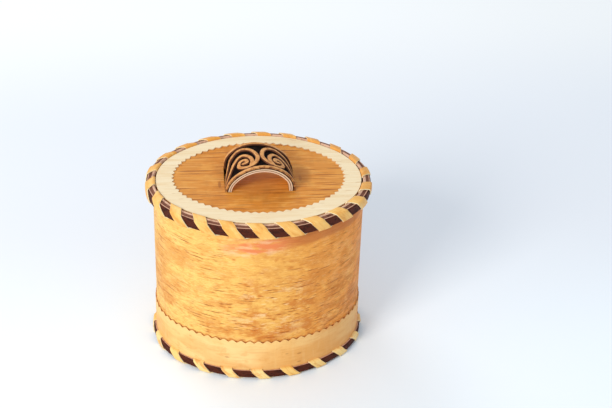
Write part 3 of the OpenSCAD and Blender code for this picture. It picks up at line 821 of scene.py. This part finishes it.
def ring_bark(colours):
    """Pale inner bark of the lid's ring, its grain along the length."""
    f = Finish("ring_bark")
    fine = f.noise(f.stretched(40, 800, 1, (2, 0, 0)), 4.0, 0.6)
    broad = f.noise(f.stretched(18, 120, 1, (0, 9, 0)), 3.0, 0.5)
    specks = f.noise(f.stretched(90, 500, 1, (6, 6, 0)), 1.0, 0.3)
    side = f.rise(f.split(f.facing)[2], 0.5, 0.2)
    colour = f.layered(
        colours.ring,
        (broad, 0.48, 0.64, 0.45, Shade.ring_tan),
        (fine, 0.5, 0.68, 0.45, Shade.ring_grain),
        (fine, 0.45, 0.28, 0.5, Shade.ring_light),
    )
    colour = f.mix(f.times(f.rise(specks, 0.68, 0.74), 0.35), colour, Shade.ring_mark)
    colour = f.mix(f.times(side, 0.45), colour, Shade.ring_side)
    return f.done(colour, f.rise(fine, 0.3, 0.7, 0.45, 0.6), fine, 0.07 * MM)


def hoop_bark(name, base, darker, edge=None):
    """Bark of a hoop, mottled, with a paler cut edge on top where one shows."""
    f = Finish(name)
    mottle = f.noise(f.stretched(260, 260, 420, (5, 1, 1)), 4.0, 0.65)
    streak = f.noise(f.stretched(90, 90, 900, (1, 4, 2)), 3.0, 0.6)
    lighter = tuple(min(1, c * 1.9) for c in base)
    colour = f.layered(base, (mottle, 0.42, 0.68, 1.0, darker), (streak, 0.55, 0.75, 0.35, lighter))
    if edge is not None:
        rim = f.rise(f.split(f.facing)[2], 0.8, 0.9)
        worn = f.rise(f.noise(f.stretched(180, 180, 60, (3, 3, 3)), 2.0), 0.25, 0.5, 0.45, 1.0)
        colour = f.mix(f.times(rim, worn), colour, edge)
    rough = f.rise(mottle, 0.3, 0.7, 0.5, 0.68)
    return f.done(colour, rough, f.plus(mottle, f.times(streak, 0.5)), 0.08 * MM, 0.09)


def lacing_bark(name, base, pale):
    """Golden lacing strip: grain along it, each turn its own tone, burnished by handling, with painted
    shade at the back and the right.
    """
    f = Finish(name)
    along, across, tone = f.value("along"), f.value("across"), f.value("tone")
    place = f.join(along, across, 0.0)
    grain = f.noise(f.stretched(30, 950, 1, (0, 0, 0), place), 4.0, 0.6)
    cloud = f.noise(f.stretched(95, 160, 1, (3, 0, 0), place), 3.0, 0.5)
    x, y, _ = f.split(f.place)
    # Painted shade: darker and more orange at the back and at the right, away from the lamp at the front
    # left.
    back_right_shade = f.times(f.rise(x, 0.02, 0.072), f.rise(y, -0.045, -0.005))
    colour = f.layered(f.mix(tone, base, pale), (y, -0.01, 0.055, 0.75, Shade.lacing_back_shade))
    colour = f.mix(f.times(back_right_shade, 0.5), colour, Shade.lacing_right_shade)
    colour = f.layered(
        colour,
        (cloud, 0.5, 0.64, 0.65, Shade.lacing_cloud),
        (cloud, 0.46, 0.32, 0.45, Shade.lacing_light),
        (grain, 0.5, 0.7, 0.35, Shade.lacing_grain),
    )
    rough = f.rise(cloud, 0.3, 0.7, 0.34, 0.5)
    return f.done(colour, rough, f.plus(f.times(grain, 0.5), cloud), 0.08 * MM, 0.22)


def cut_bark(colours, name):
    """Pale cut edge of a bark strip, with its fine layers."""
    f = Finish(name)
    layer = f.noise(f.stretched(500, 500, 500), 3.0, 0.6)
    colour = f.layered(colours.cut, (layer, 0.45, 0.7, 1.0, Shade.cut_layer))
    return f.done(colour, f.rise(layer, 0.3, 0.7, 0.5, 0.62), layer, 0.05 * MM)


def carved_bark(colours):
    """Lines of the handle's cover: orange brown, darker and burnt towards the cut edges."""
    f = Finish("carved_bark")
    mottle = f.noise(f.stretched(420, 420, 420), 3.0, 0.6)
    broad = f.noise(f.stretched(90, 90, 90, (2, 1, 0)), 2.0)
    burning = f.plus(f.value("rim"), f.times(f.less(mottle, 0.5), 0.35))
    colour = f.layered(
        colours.carving,
        (broad, 0.4, 0.6, 1.0, Shade.carving_light),
        (mottle, 0.45, 0.62, 0.7, Shade.carving_mottle),
        (burning, 0.70, 0.93, 1.0, colours.burnt),
    )
    return f.done(colour, f.rise(mottle, 0.3, 0.7, 0.4, 0.58), mottle, 0.05 * MM, 0.2)


def backing_bark(colours):
    """Black ground behind the carving."""
    f = Finish("backing_bark")
    mottle = f.noise(f.stretched(350, 350, 350, (1, 0, 3)), 4.0, 0.6)
    colour = f.layered(colours.backing, (mottle, 0.4, 0.7, 1.0, Shade.backing_mottle))
    return f.done(colour, f.rise(mottle, 0.3, 0.7, 0.55, 0.75), mottle, 0.05 * MM, 0.01)


def layer_bark(colours, name, warm, arch, joint):
    """Cream layers of the handle: a dark joint at the cut edge, warm bark on the inner face, made lighter
    there as painted light.
    """
    f = Finish(name)
    grain = f.noise(f.stretched(60, 500, 60, (warm * 3, 1, 0)), 4.0, 0.6)
    cloud = f.noise(f.stretched(60, 200, 60, (0, warm * 5, 2)), 3.0, 0.5)
    edge = f.rise(f.size(f.split(f.facing)[1]), 0.5, 0.8)
    near = f.rise(f.size(f.less(f.below(arch), joint)), 0.36 * MM, 0.2 * MM)
    colour = f.layered(
        f.mix(warm, colours.pith, Shade.pith_warm),
        (grain, 0.48, 0.72, 0.45, Shade.pith_grain),
        (cloud, 0.46, 0.3, 0.5, Shade.pith_light),
    )
    colour = f.mix(f.times(near, edge, 0.95), colour, Shade.pith_joint)
    # Warm inner face, lightened as painted light under the arch.
    colour = f.layered(colour, (edge, 1.0, 0.0, 1.0, Shade.pith_face_warm_and_lit))
    return f.done(colour, f.rise(grain, 0.3, 0.7, 0.48, 0.64), grain, 0.06 * MM)


def floor_paint(stage):
    """Pale floor, cooler and darker beside the box as painted shade, and whiter farther back."""
    f = Finish("floor_paint")
    tone = f.noise(f.stretched(1.2, 1.2, 1.2), 1.0)
    y = f.split(f.place)[1]
    colour = f.layered(
        stage.floor,
        (y, -0.08, 0.16, 1.0, stage.floor_painted_shade),
        (y, 0.3, 0.6, 1.0, stage.floor_back),
        (tone, 0.3, 0.7, 0.12, Shade.floor_light),
    )
    return f.done(colour, 0.9, specular=0.0)


# ---------------------------------------------------------------------------
# Pieces

# The strip's section: place across its width, place through its thickness.
STRIP = (
    (-1.0, 0.14), (-0.985, 0.0), (-0.5, 0.0), (0.0, 0.0), (0.5, 0.0), (0.985, 0.0), (1.0, 0.14),
    (1.0, 0.82), (0.975, 1.0), (0.5, 1.0), (0.0, 1.0), (-0.5, 1.0), (-0.975, 1.0), (-1.0, 0.82),
)
STRIP_EDGES = (0, 5, 6, 7, 12, 13)
STRIP_MIDDLE = STRIP.index((0.0, 1.0))
BEND_STEPS = 6
RUN_STEPS = 4
STRAY = 0.3 * MM  # how much the turns' places differ
UNEVEN = 0.045  # how much their widths differ, as a share
FLATTER = 0.25  # how much less a strip's edges stand off than its middle


def strip_loop(inside, outside, bottom, top, fall, bends, from_top, gap):
    """Stations of one turn: offset, height, reach and direction of the strip there, share of
    the slant, share of the way on to the next turn, and how far it bows."""
    bend_in, bend_out, bend_low = bends
    turn = math.pi / 2
    lead = turn * (bend_in + gap) if from_top else 0.0
    across = math.hypot(outside - inside - bend_in - bend_out, fall) if from_top else 0.0
    over, under = turn * (bend_out + gap), turn * (bend_low + gap)
    down = top - fall - bottom - bend_out - bend_low
    whole = lead + across + over + down + under
    led, crossed, turned, lowered = (
        lead / whole, (lead + across) / whole, (lead + across + over) / whole, 1 - under / whole
    )
    # Offset, height and radius of each bend, direction and slant before it, slant after it,
    # and whether the strip has moved on to the next turn.
    corners = (
        (inside + bend_in, top - bend_in, bend_in, 180, 0.0, led, 0),
        (outside - bend_out, top - fall - bend_out, bend_out, 90, crossed, turned, 0),
        (outside - bend_low, bottom + bend_low, bend_low, 0, lowered, 1.0, 0),
        (inside, bottom, 0.0, -90, 1.0, 1.0, 1),
    )
    stations = []
    for number, (o, z, radius, way, before, after, on) in enumerate(corners):
        for i in range(BEND_STEPS + 1):
            part = i / BEND_STEPS
            slant = before + (after - before) * part
            stations.append((o, z, radius, way - 90 * part, slant, on, 0.0))
        if number < 3:
            following = corners[number + 1]
            for i in range(1, RUN_STEPS):
                part = i / RUN_STEPS
                mixed = [a + (b - a) * part for a, b in zip((o, z, radius), following[:3])]
                slant = after + (following[4] - after) * part
                step = following[6] * part if number == 2 else 0.0
                stations.append((*mixed, way - 90, slant, step, math.sin(math.pi * part)))
        else:
            for i in range(1, RUN_STEPS):
                rise = (top - bend_in - z) * i / RUN_STEPS
                stations.append((o, z + rise, 0.0, -180, 1.0, 1.0, 0.0))
    return stations


def lacing(name, node, body, stations, turns, start, width, slant, lace, finishes):
    """One strip wound round the rim, turn after turn, with a pale cut edge."""
    pitch = WALL.round / turns
    # The last turn ends under the outer hoop, before the run that goes on to the next turn.
    ending = len(stations) - 2 * (RUN_STEPS - 1) - (BEND_STEPS + 1)
    rings, along, across, tone = [], [], [], []
    travelled, before = 0.0, None
    for turn in range(turns):
        shift = (chance(turn, 3.1) - 0.5) * STRAY
        wide = width * (1 + (chance(turn, 7.7) - 0.5) * UNEVEN)
        hue = chance(turn, 11.3)
        here = stations if turn < turns - 1 else stations[:ending]
        for o, z, radius, way, share_slant, on, bow in here:
            s = start + turn * pitch + shift + slant * share_slant + (pitch - slant) * on
            outward, upward = math.cos(math.radians(way)), math.sin(math.radians(way))
            ring = []
            for u, n in STRIP:
                reach = radius + lace.gap + n * lace.thickness + bow * lace.bow * (1 - FLATTER * u * u)
                ring.append((*WALL.shifted(s, o + reach * outward, u * wide / 2), z + reach * upward))
            middle = Vector(ring[STRIP_MIDDLE])
            travelled += (middle - before).length if before else 0.0
            before = middle
            rings.append(ring)
            along += [travelled] * len(STRIP)
            across += [u * wide / 2 for u, _ in STRIP]
            tone += [hue] * len(STRIP)
    values = {"along": along, "across": across, "tone": tone}
    piece = make_piece(name, rings, finishes, body, STRIP_EDGES, values)
    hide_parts(node)


# Section of a carved line: place across its width, height.
LINE = (
    (-1.0, 0.0), (-1.0, 0.72), (-0.8, 0.93), (-0.4, 1.0), (0.0, 1.0), (0.4, 1.0), (0.8, 0.93), (1.0, 0.72),
    (1.0, 0.0),
)
LINE_FACE = 0.8  # height from which a point lies on the line's face, not on its side

# One scroll, as shares of the way from foot to crown and of half the depth.
OUTER_LINE = (
    (0, -0.53), (0.27, -0.06), (0.48, 0.42), (0.69, 0.64), (0.88, 0.44), (0.96, -0.11),
    (0.88, -0.6), (0.73, -0.74), (0.61, -0.5), (0.65, -0.2), (0.74, -0.2), (0.76, -0.4), (0.7, -0.42),
)
INNER_LINE = (
    (0, -0.74), (0.25, -0.6), (0.41, -0.38), (0.53, -0.07), (0.64, 0.14), (0.74, 0.16),
    (0.83, -0.08), (0.85, -0.4), (0.82, -0.62),
)
SCROLL_HEIGHTS = (1.0, 0.97)  # shares of the cover's thickness, so that crossing faces don't meet
SCROLL_ROOT = (-1.6 * MM, -0.4 * MM)  # where a scroll starts, from its first knot
SCROLL_STEP = 0.7 * MM
BORDER_STEPS = 96
SCORCH = 1.2  # how burnt a line's sides are; fully from about 0.9 on
FRONT_SCORCH = 0.84  # the front border's sides are paler
TIP_STEPS = 4
TIP_WIDTH = 0.12


def carved_line(arch, path, width, cover, height=1.0, left=False, tip=True, scorch=SCORCH):
    """Rings of one carved line laid on the arch along a path of (distance, depth), and how
    burnt it is at each point. Left mirrors it, and a tip rounds its end."""
    widths = [1.0] * len(path)
    if tip:
        (d1, y1), (d2, y2) = path[-2:]
        run = math.dist(path[-2], path[-1])
        on_d, on_y = (d2 - d1) / run, (y2 - y1) / run
        steps = [k / TIP_STEPS for k in range(1, TIP_STEPS + 1)]
        path = path + [(d2 + on_d * width / 2 * a, y2 + on_y * width / 2 * a) for a in steps]
        widths += [max(math.sqrt(1 - a**2), TIP_WIDTH) for a in steps]
    rings, rim = [], []
    for i, ((d, y), wide) in enumerate(zip(path, widths)):
        (a, b), (c, e) = path[max(i - 1, 0)], path[min(i + 1, len(path) - 1)]
        run = math.dist((a, b), (c, e))
        px, py = -(e - b) / run, (c - a) / run
        ring = []
        for u, h in LINE:
            away, aside = d + px * u * wide * width / 2, y + py * u * wide * width / 2
            if left:
                away = 2 * arch.quarter - away
            ring.append(arch.point(away, aside, cover * (1 - h * height)))
        rings.append(ring if not left else ring[::-1])
        rim += [abs(u) if h > LINE_FACE else scorch for u, h in LINE]
    return rings, rim


def carving(handle, colours):
    """The handle's cover: two borders and a pair of ram's-horn scrolls."""
    arch = Arch(handle, high("lid_field").z)
    half, line, cover = handle.depth / 2, handle.line, handle.cover
    foot = low("handle_cover").z - arch.foot_z
    whole = 2 * arch.quarter
    lines = []
    for side, scorch in ((-1, FRONT_SCORCH), (1, SCORCH)):
        y = side * (half - line / 2)
        path = [(foot, y), (foot / 2, y)]
        path += [(whole * i / BORDER_STEPS, y) for i in range(BORDER_STEPS + 1)]
        path += [(whole - foot / 2, y), (whole - foot, y)]
        lines.append(("border", carved_line(arch, path, line, cover, tip=False, scorch=scorch)))
    for knots, height in zip((OUTER_LINE, INNER_LINE), SCROLL_HEIGHTS):
        points = [(way * arch.quarter, depth * half) for way, depth in knots]
        root = (SCROLL_ROOT[0], points[0][1] + SCROLL_ROOT[1])
        path = [root] + smooth_path(points, SCROLL_STEP)
        for left in (False, True):
            lines.append(("scroll", carved_line(arch, path, line, cover, height, left)))
    finish = carved_bark(colours)
    made = [
        make_piece(f"handle_{kind}_{i}", rings, (finish,), "lid", values={"rim": rim})
        for i, (kind, (rings, rim)) in enumerate(lines, 1)
    ]
    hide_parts("handle_cover")


# One tooth's edge: share of the pitch, share of the tooth's height that it lies lower.
TOOTH = ((0.0, 0.0), (0.08, 0.0), (0.29, 0.5), (0.48, 0.97), (0.52, 0.97), (0.71, 0.5), (0.92, 0.0))
EDGE_GAP = 0.02 * MM  # room between the line and the wall
EDGE_LAP = 0.1 * MM  # how far the line reaches down into the teeth
EDGE_REACH = 0.8  # how far it stands out, as a share of the band's thickness
VALLEY = 0.5  # how much wider it is in the valleys, as a share


def band_edge(band, colours):
    """Painted shade along the band's cut edge: a dark line on the wall just above the band's teeth."""
    top, outside = high("pinked_band").z, high("pinked_band").x - HALF_WIDTH
    pitch = WALL.round / band.teeth
    rings = []
    for tooth in range(band.teeth):
        for share_on, drop in TOOTH:
            s, z = (tooth + share_on) * pitch, top - drop * band.tooth
            inner = WALL.point(s, EDGE_GAP)
            outer = WALL.point(s, outside * EDGE_REACH)
            under, wide = z - EDGE_LAP, band.line * (1 + VALLEY * drop)
            rings.append([(*inner, under), (*outer, under), (*outer, z + wide / 2), (*inner, z + wide)])
    finish = band_edge_shade(colours, top, band.tooth)
    make_piece("band_edge", rings, (finish,), "box", closed=True)


# ---------------------------------------------------------------------------
# Operators


class BARKBOX_OT_stage(bpy.types.Operator):
    """Sets up the floor, the soft light and the camera"""

    bl_idname = "barkbox.stage"
    bl_label = "Stage"

    def execute(self, context):
        scene, stage = context.scene, context.scene.bark_stage
        self.floor(scene, stage)
        self.light(
            scene, "key_lamp", stage.key, stage.key_tint,
            size=0.75, place=(-1.20, -1.38, 1.14), aim=(0, 0, 0.07),
        )
        self.light(
            scene, "fill_lamp", stage.fill, (1.0, 0.99, 0.97),
            size=0.8, place=(-0.7, 1.2, 1.5), aim=(-0.4, 0.9, 0),
        )
        self.sky(scene, stage)
        self.camera(scene, stage)
        scene.view_settings.view_transform = "Standard"
        return {"FINISHED"}

    def floor(self, scene, stage):
        half = 6.0
        corners = [(-half, -half, 0), (half, -half, 0), (half, half, 0), (-half, half, 0)]
        mesh = bpy.data.meshes.new("floor")
        mesh.from_pydata(corners, [], [(0, 1, 2, 3)])
        mesh.materials.append(floor_paint(stage))
        floor = bpy.data.objects.new("floor", mesh)
        scene.collection.objects.link(floor)

    def camera(self, scene, stage):
        camera = bpy.data.objects.new("camera", bpy.data.cameras.new("camera"))
        camera.data.sensor_width = 36.0
        camera.data.lens = stage.lens
        camera.data.clip_start = 0.01
        camera.location = stage.camera
        camera.rotation_euler = stage.aim
        scene.collection.objects.link(camera)
        scene.camera = camera

    def light(self, scene, name, power, tint, size, place, aim):
        data = bpy.data.lights.new(name, "AREA")
        data.energy, data.size, data.color = power, size, tint
        lamp = bpy.data.objects.new(name, data)
        lamp.location = place
        lamp.rotation_euler = (Vector(aim) - Vector(place)).to_track_quat("-Z", "Y").to_euler()
        scene.collection.objects.link(lamp)

    def sky(self, scene, stage):
        """Soft light for the object, and a near white sky where it is seen or mirrored."""
        world = bpy.data.worlds.new("sky")
        scene.world = world
        world.use_nodes = True
        nodes, link = world.node_tree.nodes, world.node_tree.links.new
        nodes.clear()
        out, pick = nodes.new("ShaderNodeOutputWorld"), nodes.new("ShaderNodeMixShader")
        seen, soft = nodes.new("ShaderNodeBackground"), nodes.new("ShaderNodeBackground")
        path = nodes.new("ShaderNodeLightPath")
        gloss, through = nodes.new("ShaderNodeMath"), nodes.new("ShaderNodeMath")
        seen.inputs["Color"].default_value = (0.95, 0.96, 0.98, 1)
        seen.inputs["Strength"].default_value = 1.0
        soft.inputs["Color"].default_value = (*stage.sky_tint, 1)
        soft.inputs["Strength"].default_value = stage.sky
        gloss.operation = through.operation = "MAXIMUM"
        for source, target in (
            (path.outputs["Is Camera Ray"], gloss.inputs[0]),
            (path.outputs["Is Glossy Ray"], gloss.inputs[1]),
            (gloss.outputs[0], through.inputs[0]),
            (path.outputs["Is Transmission Ray"], through.inputs[1]),
            (through.outputs[0], pick.inputs[0]),
            (soft.outputs[0], pick.inputs[1]),
            (seen.outputs[0], pick.inputs[2]),
            (pick.outputs[0], out.inputs[0]),
        ):
            link(source, target)


class BARKBOX_OT_walls(bpy.types.Operator):
    """Finishes the wall, its liner and the pinked band"""

    bl_idname = "barkbox.walls"
    bl_label = "Wall, liner and band"

    def execute(self, context):
        colours = context.scene.bark_colours
        dress("outer_wall", wall_bark(colours))
        dress("inner_liner", inner_bark(colours))
        dress("pinked_band", band_bark(colours))
        band_edge(context.scene.bark_band, colours)
        return {"FINISHED"}


class BARKBOX_OT_base(bpy.types.Operator):
    """Finishes the base board, its lining and its hoops"""

    bl_idname = "barkbox.base"
    bl_label = "Base and hoops"

    def execute(self, context):
        colours = context.scene.bark_colours
        dress("base_board", board_bark(colours))
        dress("base_lining", inner_bark(colours, "base_lining_bark", tint=0.9))
        dress("base_hoop", hoop_bark(
            "base_hoop_bark", colours.hoop_dark, Shade.hoop_dark, colours.hoop_edge
        ))
        dress("inner_hoop", inner_bark(colours, "inner_hoop_bark", tint=0.85))
        return {"FINISHED"}


class BARKBOX_OT_lid(bpy.types.Operator):
    """Finishes the lid's boards, sheets and collar"""

    bl_idname = "barkbox.lid"
    bl_label = "Lid"

    def execute(self, context):
        colours = context.scene.bark_colours
        board = board_bark(colours)
        dress("lid_board", board)
        dress("lid_core", board)
        dress("lid_field", field_bark(colours, context.scene.bark_handle))
        dress("lid_ring", ring_bark(colours))
        dress("lid_collar", inner_bark(colours, "collar_bark", tint=1.1))
        return {"FINISHED"}


class BARKBOX_OT_rim_hoops(bpy.types.Operator):
    """Finishes the three hoops of the lid's rim"""

    bl_idname = "barkbox.rim_hoops"
    bl_label = "Rim hoops"

    def execute(self, context):
        colours = context.scene.bark_colours
        dress("rim_hoop_inner", hoop_bark("pink_hoop_bark", colours.hoop_pink, Shade.hoop_pink))
        dress("rim_hoop_middle", hoop_bark("red_hoop_bark", colours.hoop_red, Shade.hoop_red))
        dress("rim_hoop_outer", hoop_bark(
            "maroon_hoop_bark", colours.hoop_dark, Shade.hoop_dark, colours.hoop_edge
        ))
        return {"FINISHED"}


class BARKBOX_OT_rim_lacing(bpy.types.Operator):
    """Winds the lacing round the lid's rim"""

    bl_idname = "barkbox.rim_lacing"
    bl_label = "Rim lacing"

    def execute(self, context):
        lace, colours = context.scene.bark_lacing, context.scene.bark_colours
        inside = high("rim_hoop_inner").x - HALF_WIDTH - lace.hoop
        outside = high("rim_hoop_outer").x - HALF_WIDTH
        stations = strip_loop(
            inside, outside, low("lid_board").z, high("rim_hoop_inner").z, lace.fall,
            (lace.bend, lace.bend, lace.bend / 2), from_top=True, gap=lace.gap,
        )
        finishes = (
            lacing_bark("rim_lacing_bark", colours.lacing, colours.lacing_pale),
            cut_bark(colours, "rim_lacing_cut"),
        )
        lacing(
            "rim_lacing_strip", "rim_lacing", "lid", stations, lace.lid_turns, lace.lid_start,
            lace.lid_width, lace.lid_slant, lace, finishes,
        )
        return {"FINISHED"}


class BARKBOX_OT_base_lacing(bpy.types.Operator):
    """Winds the lacing round the base"""

    bl_idname = "barkbox.base_lacing"
    bl_label = "Base lacing"

    def execute(self, context):
        lace, colours = context.scene.bark_lacing, context.scene.bark_colours
        inside = high("inner_hoop").x - HALF_WIDTH - lace.base_hoop
        outside = high("base_hoop").x - HALF_WIDTH
        stations = strip_loop(
            inside, outside, low("outer_wall").z, high("base_hoop").z, 0.0,
            (0.0, lace.bend, lace.bend / 2), from_top=False, gap=lace.gap,
        )
        finishes = (
            lacing_bark("base_lacing_bark", colours.base_lacing, colours.base_lacing_pale),
            cut_bark(colours, "base_lacing_cut"),
        )
        lacing(
            "base_lacing_strip", "base_lacing", "box", stations, lace.base_turns, lace.base_start,
            lace.base_width, lace.base_slant, lace, finishes,
        )
        return {"FINISHED"}


class BARKBOX_OT_handle_carving(bpy.types.Operator):
    """Carves the handle's cover"""

    bl_idname = "barkbox.handle_carving"
    bl_label = "Handle carving"

    def execute(self, context):
        carving(context.scene.bark_handle, context.scene.bark_colours)
        return {"FINISHED"}


class BARKBOX_OT_handle_layers(bpy.types.Operator):
    """Finishes the handle's backing, core and lining"""

    bl_idname = "barkbox.handle_layers"
    bl_label = "Handle layers"

    def execute(self, context):
        colours, handle = context.scene.bark_colours, context.scene.bark_handle
        arch = Arch(handle, high("lid_field").z)
        dress("handle_backing", backing_bark(colours))
        for node, warm in (("handle_core", 0.1), ("handle_lining", 0.3)):
            dress(node, layer_bark(colours, f"{node}_bark", warm, arch, handle.joint))
        return {"FINISHED"}


OPERATORS = (
    BARKBOX_OT_stage,
    BARKBOX_OT_walls,
    BARKBOX_OT_base,
    BARKBOX_OT_lid,
    BARKBOX_OT_rim_hoops,
    BARKBOX_OT_rim_lacing,
    BARKBOX_OT_base_lacing,
    BARKBOX_OT_handle_carving,
    BARKBOX_OT_handle_layers,
)


class BARKBOX_PT_panel(bpy.types.Panel):
    """Lists the box's settings and steps"""

    bl_idname = "BARKBOX_PT_panel"
    bl_label = "Birch Bark Box"
    bl_space_type = "VIEW_3D"
    bl_region_type = "UI"
    bl_category = "Bark Box"

    def draw(self, context):
        layout = self.layout
        for step in OPERATORS:
            layout.operator(step.bl_idname)
        for name, group in SETTINGS.items():
            box = layout.box()
            box.label(text=group.__doc__)
            for label in group.__annotations__:
                box.prop(getattr(context.scene, name), label)


CLASSES = (*SETTINGS.values(), *OPERATORS, BARKBOX_PT_panel)


def register():
    for cls in CLASSES:
        bpy.utils.register_class(cls)
    for name, group in SETTINGS.items():
        setattr(bpy.types.Scene, name, bpy.props.PointerProperty(type=group))


def unregister():
    for name in SETTINGS:
        delattr(bpy.types.Scene, name)
    for cls in reversed(CLASSES):
        bpy.utils.unregister_class(cls)


def main():
    register()
    for step in OPERATORS:
        group, name = step.bl_idname.split(".")
        getattr(getattr(bpy.ops, group), name)()


if __name__ == "__main__":
    main()
